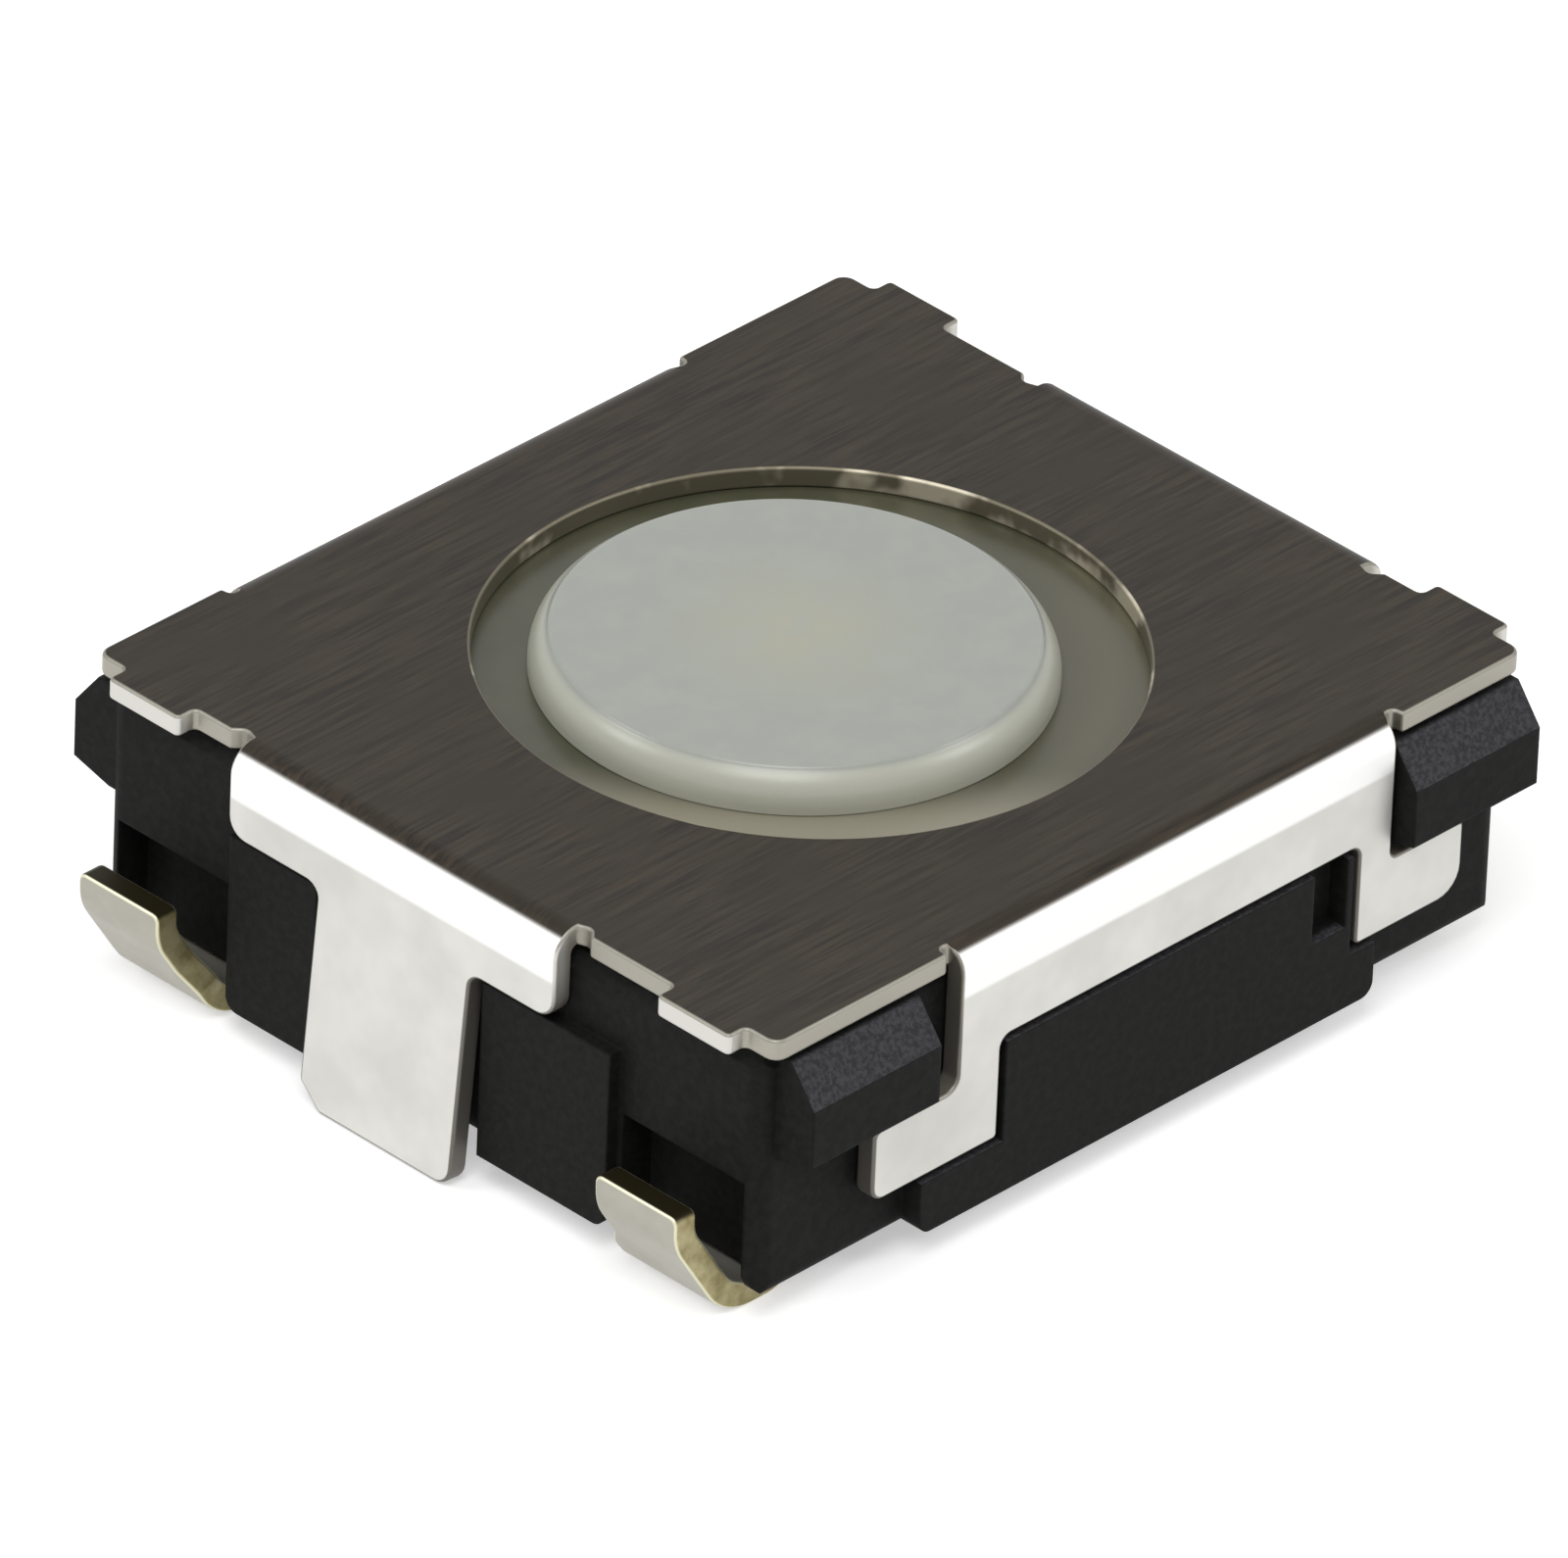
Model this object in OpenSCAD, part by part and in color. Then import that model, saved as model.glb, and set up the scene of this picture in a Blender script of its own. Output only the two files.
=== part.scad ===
// Low tactile push button switch for surface mounting, 6 mm class.
// The board is at z = 0. The leads run along X, the cover's hooks are on the Y sides.
// The cover, the lugs and the pads repeat after half a turn about the button's axis.

/* [Housing] */
// Length of the moulded housing along X
housing_l = 6.54; // [6.3:0.02:7.4]
// Width of the moulded housing along Y
housing_w = 5.68; // [5.5:0.02:6.4]
// Height of the moulded housing
housing_h = 1.75; // [1.65:0.01:2.2]
// Air between the board and the housing
standoff = 0.22; // [0.2:0.01:0.4]
// Radius of the housing's upright corners
corner_r = 0.14; // [0.05:0.01:0.3]
// Radius of the housing's lower edges at the X ends
sole_r = 0.18; // [0.06:0.01:0.24]
// Size of the cut along the housing's upper edge
top_cut = 0.08; // [0.02:0.01:0.15]
// Air between the dome's edge and the wall of its round well
well_gap = 0.15; // [0.1:0.01:0.3]
// Depth of the round well
well_depth = 0.40; // [0.38:0.01:0.5]

/* [Housing pads] */
// Width of the raised foot pad on the Y sides
foot_pad_w = 4.00; // [3.6:0.05:4.6]
// Width of the raised pad on the X sides
end_pad_w = 3.30; // [3.0:0.05:3.35]
// Radius of the pads' lower corners
pad_r = 0.10; // [0.03:0.01:0.15]
// How far the X pads stand out of the housing
end_pad_out = 0.10; // [0.04:0.01:0.14]
// Width of the moulding relief beside the hook leg
relief_w = 0.30; // [0.2:0.02:0.5]
// Height of the moulding relief beside the hook leg
relief_h = 0.50; // [0.3:0.02:0.6]

/* [Hook lugs] */
// Length of each lug along X
lug_l = 1.10; // [0.7:0.02:1.12]
// Distance of the lugs' middles from the housing's middle
lug_mid = 2.64; // [2.6:0.01:2.66]
// How far the pair of lugs sits off centre
lug_shift = 0.055; // [0:0.005:0.06]
// How far the lugs stand out past the cover
lug_out = 0.15; // [0.05:0.01:0.3]
// Height of each lug at its root
lug_h = 0.75; // [0.6:0.01:0.9]
// Height of the slanted upper face
lug_bevel_h = 0.26; // [0.1:0.01:0.4]
// Depth of the slanted upper face
lug_bevel_w = 0.20; // [0.1:0.01:0.25]
// Rise of the slanted lower face
lug_under = 0.08; // [0.02:0.01:0.15]

/* [Cover] */
// Thickness of the cover's sheet
sheet_t = 0.15; // [0.1:0.01:0.2]
// Inside radius of the cover's bends
bend_r = 0.10; // [0.05:0.01:0.2]
// Air between the cover's skirts and the housing
fit_gap = 0.01; // [0.01:0.005:0.05]
// Diameter of the hole around the button
hole_d = 4.20; // [4.0:0.02:4.3]
// Width of each cut-off lip on the X edges
lip_w = 0.62; // [0.4:0.02:0.7]
// Distance of the lips' middles from the cover's middle
lip_mid = 2.38; // [2.3:0.01:2.45]
// Radius of the round notch at each end of a skirt
notch_r = 0.12; // [0.05:0.01:0.2]

/* [Hooked skirts] */
// Width of each skirt on the Y sides
hook_skirt_w = 3.82; // [3.6:0.02:3.9]
// Height of the hooked skirts' band below the cover's top
hook_skirt_h = 0.79; // [0.6:0.01:0.9]
// How far the skirts sit off the middle
skirt_shift = 0.20; // [0.1:0.01:0.24]
// Width of the leg nearer the middle's far side
wide_leg_w = 0.37; // [0.25:0.01:0.45]
// Width of the other leg
slim_leg_w = 0.29; // [0.2:0.01:0.4]
// Reach of the wide leg's foot
wide_foot = 0.73; // [0.5:0.01:0.85]
// Reach of the slim leg's foot
slim_foot = 0.66; // [0.5:0.01:0.8]
// Height of the feet that hook under the lugs
foot_h = 0.52; // [0.35:0.01:0.6]
// Air between a foot and the housing above and below it
hook_gap = 0.05; // [0.02:0.01:0.08]
// Radius of the feet's corners
foot_r = 0.10; // [0.04:0.01:0.15]

/* [Ground tabs] */
// Width of each skirt on the X sides
tab_skirt_w = 2.83; // [2.4:0.02:3.0]
// Height of these skirts' band below the cover's top
tab_skirt_h = 0.63; // [0.5:0.01:0.8]
// Radius of the band's lower corners
band_r = 0.15; // [0.05:0.01:0.25]
// Width of the tab that reaches the board
tab_w = 1.32; // [0.8:0.02:1.6]
// How far the tab sits off the middle
tab_shift = 0.17; // [0:0.01:0.3]
// Outward lean of the tab in degrees
tab_lean = 4.5; // [0:0.5:7]
// Size of the tab's cut corners
tab_cut = 0.16; // [0.05:0.01:0.25]
// Air between the tab and the channel's sides
tab_gap = 0.06; // [0.03:0.01:0.1]

/* [Leads] */
// Thickness of the contact strip
strip_t = 0.18; // [0.14:0.01:0.2]
// Width of each lead at its tip
lead_w = 0.70; // [0.5:0.01:0.75]
// Extra width of the lead's root, on the side of the middle
root_extra = 0.10; // [0.05:0.01:0.15]
// Distance of the leads' outer edges from the middle
lead_edge = 2.60; // [2.5:0.01:2.66]
// How much nearer the middle the leads of the +X end are
far_shift = 0.22; // [0.1:0.01:0.3]
// Place of the upright stem inside the housing
stem_x = 2.60; // [2.5:0.01:2.7]
// Outside radius of the bend from the stem to the board
stem_bend_r = 0.30; // [0.26:0.01:0.34]
// Flat length of the lead on the board
sole_l = 0.13; // [0.05:0.01:0.2]
// Outside radius of the lead's lower curl
curl_r = 0.45; // [0.35:0.01:0.55]
// Slope of the lead after the lower curl in degrees
curl_angle = 57; // [45:1:70]
// Length of the sloping part
slope_l = 0.47; // [0.3:0.01:0.7]
// Length of the wide root along the slope
shoulder_l = 0.20; // [0.1:0.01:0.28]
// Outside radius of the lead's upper curl
tip_r = 0.40; // [0.3:0.01:0.5]
// Upright length at the tip
tip_l = 0.10; // [0.05:0.01:0.2]
// Depth of the pockets behind the leads
pocket_d = 0.27; // [0.22:0.01:0.35]
// Height of the pockets behind the leads
pocket_h = 0.82; // [0.7:0.01:1.0]
// Air between a lead's edge and its pocket
pocket_gap = 0.12; // [0.05:0.01:0.14]

/* [Contacts] */
// Plastic over the contact strips
skin_t = 0.08; // [0.05:0.01:0.12]
// Diameter of the centre contact
centre_pad_d = 1.10; // [0.8:0.05:1.3]
// How far the centre contact stands above the well's floor
centre_pad_up = 0.06; // [0.03:0.01:0.1]
// Width of the arm to the centre contact
arm_w = 0.80; // [0.5:0.05:1.0]
// Length of the contact under the dome's edge
rim_pad_l = 1.80; // [1.2:0.05:2.2]
// Width of the contact under the dome's edge
rim_pad_w = 0.40; // [0.3:0.01:0.45]

/* [Dome] */
// Diameter of the snap dome
dome_d = 4.20; // [4.0:0.02:4.3]
// Thickness of the dome's steel
dome_t = 0.06; // [0.04:0.01:0.08]
// Air between the dome's crown and the film
crown_gap = 0.01; // [0.01:0.005:0.05]

/* [Film] */
// Distance from the film's edge to the housing's edge
film_inset = 0.12; // [0.1:0.01:0.3]
// Thickness of the sealing film
film_t = 0.05; // [0.03:0.01:0.08]
// Radius of the film's corners
film_r = 0.40; // [0.2:0.05:0.8]

/* [Button] */
// Diameter of the button
button_d = 3.30; // [3.0:0.02:3.6]
// How far the button stands above the cover
button_up = 0.15; // [0.1:0.01:0.5]
// Radius of the button's upper edge
button_r = 0.13; // [0.05:0.01:0.15]
// How far the loose button has drifted along X in its hole
drift_x = -0.07; // [-0.1:0.01:0.1]
// How far the loose button has drifted along Y in its hole
drift_y = 0.07; // [-0.1:0.01:0.1]

/* [Hidden] */
$fn = 96;
tiny = 0.01;

// Levels above the board
housing_top = standoff + housing_h;
well_floor = housing_top - well_depth;
strip_top = well_floor - skin_t;
strip_low = strip_top - strip_t;
cover_under = housing_top + film_t;
cover_top = cover_under + sheet_t;
button_top = cover_top + button_up;
lug_low = housing_top - lug_h;
foot_top = lug_low - hook_gap;
foot_low = foot_top - foot_h;
hook_band_low = cover_top - hook_skirt_h;
tab_band_low = cover_top - tab_skirt_h;

// Faces of the housing and of the cover that fits over it
side_x = housing_l / 2;
side_y = housing_w / 2;
skin_x = side_x + fit_gap;
skin_y = side_y + fit_gap;
cover_x = skin_x + sheet_t;
cover_y = skin_y + sheet_t;
bend_out = bend_r + sheet_t;
film_l = housing_l - 2 * film_inset;
film_w = housing_w - 2 * film_inset;
well_d = dome_d + 2 * well_gap;

// Ends of the hooked skirt, seen from the front
wide_out = skirt_shift - hook_skirt_w / 2;
wide_in = wide_out + wide_leg_w;
slim_out = skirt_shift + hook_skirt_w / 2;
slim_in = slim_out - slim_leg_w;

// Widths that the leads and their pockets share
root_w = lead_w + root_extra;
root_in = lead_edge - root_w;

// Puts a copy of the children on the opposite side, half a turn away
module both_sides() {
    for (turn = [0, 180])
        rotate([0, 0, turn]) children();
}

// Puts the children of the +X and +Y corner at all four corners, two rows of two
module four_corners() {
    for (side = [0, 1]) mirror([0, side, 0]) row_ends() children();
}

// Puts the children at both ends of the +Y row, nearer the middle at the +X end
module row_ends() {
    translate([0, -far_shift, 0]) children();
    mirror([1, 0, 0]) children();
}

// Rectangle with round corners, centred
module round_rect(size, r) {
    square([size[0] - 2 * r, size[1]], center = true);
    square([size[0], size[1] - 2 * r], center = true);
    for (x = [-1, 1], y = [-1, 1])
        translate([x * (size[0] / 2 - r), y * (size[1] / 2 - r)]) circle(r);
}

// Concave corner piece between two edges that meet at the origin
module inner_fillet(r) {
    difference() {
        translate([-tiny, -tiny]) square(r + tiny);
        translate([r, r]) circle(r);
    }
}

// Lays a drawing of a Y side, X to the right and Z up, on the plane y, thickened inwards
module on_front(y, depth) {
    translate([0, -y + depth, 0]) rotate([90, 0, 0]) linear_extrude(depth) children();
}

// Lays a drawing of an X side, seen from outside with Z up, on the plane x, thickened inwards
module on_end(x, depth) {
    translate([-x + depth, 0, 0]) rotate([90, 0, -90]) linear_extrude(depth) children();
}

// Rectangle from one corner to the opposite one, with round lower corners
module sole_rect(low, high, r) {
    translate([low[0], low[1] + r]) square([high[0] - low[0], high[1] - low[1] - r]);
    translate([low[0] + r, low[1]]) square([high[0] - low[0] - 2 * r, r + tiny]);
    for (x = [low[0] + r, high[0] - r])
        translate([x, low[1] + r]) circle(r);
}

// Upright outline of the block seen along one pair of sides, with its upper corners cut
module block_outline(width, r) {
    half = width / 2;
    sole_rect([-half, standoff], [half, housing_top - top_cut], r);
    polygon([
        [-half, housing_top - top_cut],
        [half, housing_top - top_cut],
        [half - top_cut, housing_top],
        [-half + top_cut, housing_top]
    ]);
}

// Solid block of the housing, round at its corners and its lower edges
module block() {
    intersection() {
        translate([0, 0, standoff])
            linear_extrude(housing_h) round_rect([housing_l, housing_w], corner_r);
        translate([0, side_y + tiny, 0]) rotate([90, 0, 0])
            linear_extrude(housing_w + 2 * tiny) block_outline(housing_l, sole_r);
        translate([-side_x - tiny, 0, 0]) rotate([90, 0, 90])
            linear_extrude(housing_l + 2 * tiny) block_outline(housing_w, sole_r / 2);
    }
}

// Outline of one lug across its length: wall at u = 0, outwards to the right, Z up
module lug_section() {
    reach = fit_gap + sheet_t + lug_out;
    polygon([
        [-corner_r, lug_low],
        [0, lug_low],
        [reach, lug_low + lug_under],
        [reach, housing_top - lug_bevel_h],
        [reach - lug_bevel_w, housing_top],
        [-corner_r, housing_top]
    ]);
}

// The two lugs of one Y side that the cover's feet hook under
module lug_pair() {
    for (middle = [-lug_mid, lug_mid])
        translate([middle + lug_shift - lug_l / 2, -side_y, 0])
            rotate([90, 0, 90]) mirror([1, 0, 0]) linear_extrude(lug_l) lug_section();
}

// Raised pad of one Y side: a foot under the hooks and a field between the legs
module front_pad() {
    on_front(cover_y, sheet_t + fit_gap + sole_r)
        sole_rect([-foot_pad_w / 2, standoff], [foot_pad_w / 2, foot_low - hook_gap], pad_r);
    on_front(cover_y, sheet_t + fit_gap + tiny)
        difference() {
            translate([wide_in + hook_gap, standoff + sole_r])
                square([slim_in - wide_in - 2 * hook_gap,
                        hook_band_low - hook_gap - standoff - sole_r]);
            translate([slim_in - 2 * hook_gap - relief_w, hook_band_low - hook_gap - relief_h])
                square([relief_w, relief_h + tiny]);
        }
}

// Raised pad of one X side, with the channel that the ground tab runs down
module end_pad() {
    on_end(side_x + end_pad_out, end_pad_out + sole_r)
        difference() {
            sole_rect([-end_pad_w / 2, standoff],
                      [end_pad_w / 2, tab_band_low - hook_gap], pad_r);
            translate([-tab_shift - tab_w / 2 - tab_gap, standoff - tiny])
                square([tab_w + 2 * tab_gap, housing_h]);
        }
}

// Pocket behind one lead, open outwards and down
module lead_pocket() {
    translate([side_x - pocket_d, root_in - pocket_gap, standoff - tiny])
        cube([pocket_d + end_pad_out + tiny, root_w + 2 * pocket_gap, pocket_h + tiny]);
}

// Moulded housing: block, lugs and pads, less the well, the pockets and the contacts
module housing() {
    color([0.13, 0.13, 0.13])
    difference() {
        union() {
            block();
            both_sides() {
                lug_pair();
                front_pad();
                end_pad();
            }
        }
        translate([0, 0, well_floor]) cylinder(d = well_d, h = well_depth + tiny);
        four_corners() lead_pocket();
        centre_contact_shape();
        rim_contact_shape();
    }
}

// Strip of the given width that curls up by an angle from the +X heading
module strip_bend(r, angle, width) {
    translate([0, width, r]) rotate([90, 0, 0]) rotate([0, 0, -90])
        rotate_extrude(angle = angle) translate([r - strip_t, 0]) square([strip_t, width]);
}

// Moves the children to the end of such a bend
module past_bend(r, angle) {
    translate([r * sin(angle), 0, r * (1 - cos(angle))]) rotate([0, -angle, 0]) children();
}

// Straight stretch of strip along the +X heading
module strip_run(length, width) {
    cube([length, width, strip_t]);
}

// Upper part of one lead, narrower than its root, from the shoulder to the tip
module lead_tip() {
    rest = slope_l - shoulder_l;
    strip_run(rest, lead_w);
    translate([rest, 0, 0]) {
        strip_bend(tip_r, 90 - curl_angle, lead_w);
        past_bend(tip_r, 90 - curl_angle)
            translate([-tiny, 0, 0]) strip_run(tip_l + tiny, lead_w);
    }
}

// Wide root of one lead: sole, lower curl and slope up to the shoulder
module lead_root() {
    strip_run(sole_l, root_w);
    translate([sole_l, 0, 0]) {
        strip_bend(curl_r, curl_angle, root_w);
        past_bend(curl_r, curl_angle) {
            strip_run(shoulder_l, root_w);
            translate([shoulder_l, root_extra, 0]) lead_tip();
        }
    }
}

// Stem and lead on the side of +X and +Y
module lead() {
    translate([stem_x, root_in, stem_bend_r]) {
        cube([strip_t, root_w, strip_top - stem_bend_r]);
        rotate([0, 90, 0]) {
            strip_bend(stem_bend_r, 90, root_w);
            past_bend(stem_bend_r, 90) lead_root();
        }
    }
}

// The two leads of the +Y row and the bar that joins them, moulded into the floor
module lead_row() {
    row_ends() lead();
    translate([-stem_x - strip_t, root_in, strip_low])
        cube([2 * (stem_x + strip_t), root_w - far_shift, strip_t]);
}

// Centre contact: a row of leads, an arm and the round pad
module centre_contact_shape() {
    lead_row();
    translate([-arm_w / 2, 0, strip_low]) cube([arm_w, root_in + tiny, strip_t]);
    translate([0, 0, strip_low])
        cylinder(d = centre_pad_d, h = well_floor + centre_pad_up - strip_low);
}

// Rim contact: a row of leads, a short tongue and the pad under the dome's edge
module rim_contact_shape() {
    mirror([0, 1, 0]) lead_row();
    tongue_in = min(root_in, dome_d / 2 - rim_pad_w);
    tongue_out = root_in + (root_w - far_shift) / 2;
    translate([-arm_w / 2, -tongue_out, strip_low]) cube([arm_w, tongue_out - tongue_in, strip_t]);
    translate([0, 0, strip_low]) linear_extrude(well_floor - strip_low)
        intersection() {
            difference() {
                circle(d = dome_d);
                circle(d = dome_d - 2 * rim_pad_w);
            }
            translate([-rim_pad_l / 2, -dome_d]) square([rim_pad_l, dome_d]);
        }
}

module centre_contact() {
    color([0.74, 0.73, 0.68]) centre_contact_shape();
}

module rim_contact() {
    color([0.74, 0.73, 0.68]) rim_contact_shape();
}

// Snap dome: the part of a thin ball shell above the well's floor
module snap_dome() {
    rise = housing_top - crown_gap - well_floor;
    ball_r = (pow(dome_d / 2, 2) + pow(rise, 2)) / (2 * rise);
    color([0.80, 0.80, 0.79])
    intersection() {
        translate([0, 0, well_floor + rise - ball_r])
            difference() {
                sphere(ball_r);
                sphere(ball_r - dome_t);
            }
        translate([0, 0, well_floor]) cylinder(d = well_d, h = housing_h);
    }
}

// Sealing film, clamped between the housing and the cover
module sealing_film() {
    color([0.62, 0.64, 0.55, 0.6])
        translate([0, 0, housing_top]) linear_extrude(film_t) round_rect([film_l, film_w], film_r);
}

// Button: a low disc with a round upper edge, bonded to the film
module button() {
    height = button_top - cover_under;
    color([0.72, 0.73, 0.68])
        translate([drift_x, drift_y, cover_under]) rotate_extrude() {
            square([button_d / 2 - button_r, height]);
            square([button_d / 2, height - button_r]);
            translate([button_d / 2 - button_r, height - button_r])
                intersection() {
                    circle(button_r);
                    square(button_r);
                }
        }
}

// Quarter bend of the sheet along X, from the cover's top down to a skirt
module sheet_bend(length) {
    rotate([90, 0, 90])
        translate([0, 0, -length / 2]) rotate([0, 0, 90])
            rotate_extrude(angle = 90) translate([bend_r, 0]) square([sheet_t, length]);
}

// Cut for one skirt in the cover's -Y edge, with a round notch at each end of the bend
module skirt_notch(width, r) {
    translate([-width / 2, -tiny]) square([width, bend_out + tiny]);
    for (side = [0, 1]) mirror([side, 0])
        translate([width / 2, 0]) {
            translate([-tiny, -tiny]) square([r + tiny, 2 * tiny]);
            inner_fillet(r);
        }
}

// Flat top of the cover with its lips, cut back where the skirts bend down
module cover_plate() {
    translate([0, 0, cover_under]) linear_extrude(sheet_t)
        difference() {
            union() {
                square([2 * skin_x, 2 * cover_y], center = true);
                for (y = [-lip_mid, lip_mid])
                    translate([0, y]) square([2 * cover_x, lip_w], center = true);
            }
            both_sides() {
                translate([skirt_shift, -cover_y]) skirt_notch(hook_skirt_w, notch_r);
                translate([-cover_x, skirt_shift]) rotate([0, 0, -90])
                    skirt_notch(tab_skirt_w, notch_r - sheet_t / 2);
            }
            circle(d = hole_d);
        }
}

// Band, legs and feet of one hooked skirt, seen from the front
module hook_outline() {
    bend_low = cover_top - bend_out;
    translate([wide_out, hook_band_low]) square([hook_skirt_w, bend_low - hook_band_low]);
    translate([wide_out, foot_low]) square([wide_leg_w, bend_low - foot_low]);
    translate([slim_in, foot_low]) square([slim_leg_w, bend_low - foot_low]);
    translate([wide_out - wide_foot / 2 + foot_r, (foot_low + foot_top) / 2])
        round_rect([wide_foot + 2 * foot_r, foot_h], foot_r);
    translate([slim_out + slim_foot / 2 - foot_r, (foot_low + foot_top) / 2])
        round_rect([slim_foot + 2 * foot_r, foot_h], foot_r);
    translate([wide_out, foot_top]) mirror([1, 0]) inner_fillet(foot_r);
    translate([slim_out, foot_top]) inner_fillet(foot_r);
    translate([wide_in, hook_band_low]) mirror([0, 1]) inner_fillet(foot_r);
    translate([slim_in, hook_band_low]) rotate(180) inner_fillet(foot_r);
}

// One hooked skirt with its bend, on the side of -Y
module hook_skirt() {
    translate([skirt_shift, -cover_y + bend_out, cover_top - bend_out])
        sheet_bend(hook_skirt_w);
    on_front(cover_y, sheet_t) hook_outline();
}

// Band of one X skirt, seen from outside, with round lower corners
module band_outline() {
    bend_low = cover_top - bend_out;
    translate([-skirt_shift, (tab_band_low + bend_low) / 2])
        round_rect([tab_skirt_w, bend_low - tab_band_low], band_r);
    translate([-skirt_shift - tab_skirt_w / 2, tab_band_low + band_r])
        square([tab_skirt_w, bend_low - tab_band_low - band_r]);
}

// Ground tab seen from outside, long enough to be cut off at the board
module tab_outline() {
    length = cover_top;
    left = -tab_shift - tab_w / 2;
    right = left + tab_w;
    polygon([
        [left, tab_band_low + band_r],
        [left, tab_cut],
        [left + tab_cut, 0],
        [left + tab_cut, -length],
        [right - tab_cut, -length],
        [right - tab_cut, 0],
        [right, tab_cut],
        [right, tab_band_low + band_r]
    ]);
    translate([left, tab_band_low]) rotate(180) inner_fillet(foot_r);
    translate([right, tab_band_low]) mirror([0, 1]) inner_fillet(foot_r);
}

// One X skirt with its bend and the leaning ground tab, on the side of -X
module tab_skirt() {
    translate([-cover_x + bend_out, skirt_shift, cover_top - bend_out])
        rotate([0, 0, -90]) sheet_bend(tab_skirt_w);
    on_end(cover_x, sheet_t) band_outline();
    intersection() {
        translate([-cover_x, 0, tab_band_low]) rotate([0, tab_lean, 0])
            translate([cover_x, 0, -tab_band_low]) on_end(cover_x, sheet_t) tab_outline();
        translate([-2 * cover_x, -cover_y, 0]) cube([2 * cover_x, 2 * cover_y, cover_top]);
    }
}

// Stamped and folded cover
module metal_cover() {
    color([0.70, 0.69, 0.66]) {
        cover_plate();
        both_sides() {
            hook_skirt();
            tab_skirt();
        }
    }
}

housing();
centre_contact();
rim_contact();
snap_dome();
sealing_film();
button();
metal_cover();
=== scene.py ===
# %% [markdown]
# # A low tactile push button switch
# The real switch is 6.5 mm wide. A stamped steel cover clips over a black moulded housing, and a pale
# button shows through a round hole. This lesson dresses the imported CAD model. The cover, the leads and the
# button are made again as smooth surfaces in the CAD model's own frame and take the place of their CAD
# nodes. The housing, the film and the dome keep their CAD meshes and only get a material.

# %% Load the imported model
import math

import bpy
import numpy as np
from mathutils import Matrix
from mathutils.geometry import delaunay_2d_cdt


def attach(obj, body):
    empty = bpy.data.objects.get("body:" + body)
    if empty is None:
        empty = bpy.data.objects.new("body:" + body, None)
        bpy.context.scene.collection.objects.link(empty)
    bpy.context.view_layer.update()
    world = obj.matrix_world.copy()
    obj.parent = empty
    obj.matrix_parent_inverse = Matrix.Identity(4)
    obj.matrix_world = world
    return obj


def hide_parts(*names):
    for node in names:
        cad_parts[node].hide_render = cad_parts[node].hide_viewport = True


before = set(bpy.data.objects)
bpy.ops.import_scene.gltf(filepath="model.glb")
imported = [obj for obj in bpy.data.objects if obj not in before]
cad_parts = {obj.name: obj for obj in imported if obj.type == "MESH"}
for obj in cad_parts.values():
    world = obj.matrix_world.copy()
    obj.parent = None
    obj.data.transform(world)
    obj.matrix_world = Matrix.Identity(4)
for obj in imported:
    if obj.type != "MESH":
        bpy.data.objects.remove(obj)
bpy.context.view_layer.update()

MM = 0.001  # one millimetre in Blender's metres

# %% [markdown]
# ## The camera
# The photo was taken from far away with a long lens, so parallel edges stay almost parallel. A pan and a
# tilt alone can't give the photo's slight roll. The camera's three axes are therefore worked out and set as
# the columns of its matrix. The view direction was fitted to the cover's corners and to the oval of its
# hole.

# %% Place a camera or a lamp by its axes
def axes_from(back, roll=0.0):
    """Right, up and back axes of something that looks against back: right = up-vector x back, made level
    and of length 1, and up = back x right. The roll then turns right and up about back."""
    level = np.cross([0, 0, 1], back)
    level /= np.linalg.norm(level)
    rise = np.cross(back, level)
    right = math.cos(roll) * level + math.sin(roll) * rise
    return right, math.cos(roll) * rise - math.sin(roll) * level, back


def place_object(name, data, place_mm, axes):
    """A new object at a place in millimetres, with its axes as the columns of its matrix."""
    made = bpy.data.objects.new(name, data)
    bpy.context.scene.collection.objects.link(made)
    rows = [[axis[i] for axis in axes] + [place_mm[i] * MM] for i in range(3)]
    made.matrix_world = Matrix(rows + [[0, 0, 0, 1]])
    return made


# %% Camera fitted to the photo
azimuth, elevation, roll = (math.radians(angle) for angle in (-46.63, 33.05, 2.46))
distance = 177.0
aim = np.array([-0.094, 0.094, 1.22])
photo_width, lens_px = 1600, 29227.0  # the fitted lens, as a length in the photo's pixels
back = np.array([math.sin(azimuth) * math.cos(elevation), -math.cos(azimuth) * math.cos(elevation),
                 math.sin(elevation)])
camera = place_object("camera", bpy.data.cameras.new("camera"), aim + distance * back, axes_from(back, roll))
camera.data.sensor_fit = "HORIZONTAL"
camera.data.lens = lens_px / photo_width * camera.data.sensor_width
camera.data.clip_start, camera.data.clip_end = 0.005, 5.0
bpy.context.scene.camera = camera
print("lens", round(camera.data.lens, 1), "mm")

# %% [markdown]
# ## Meshes with stored normals
# Every surface below is worked out as whole arrays of points with their exact normals. Normals averaged
# from the faces would blur wide flat faces at their narrow round edges. Stored normals keep the faces flat
# in their shading right up to the edge.

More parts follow.
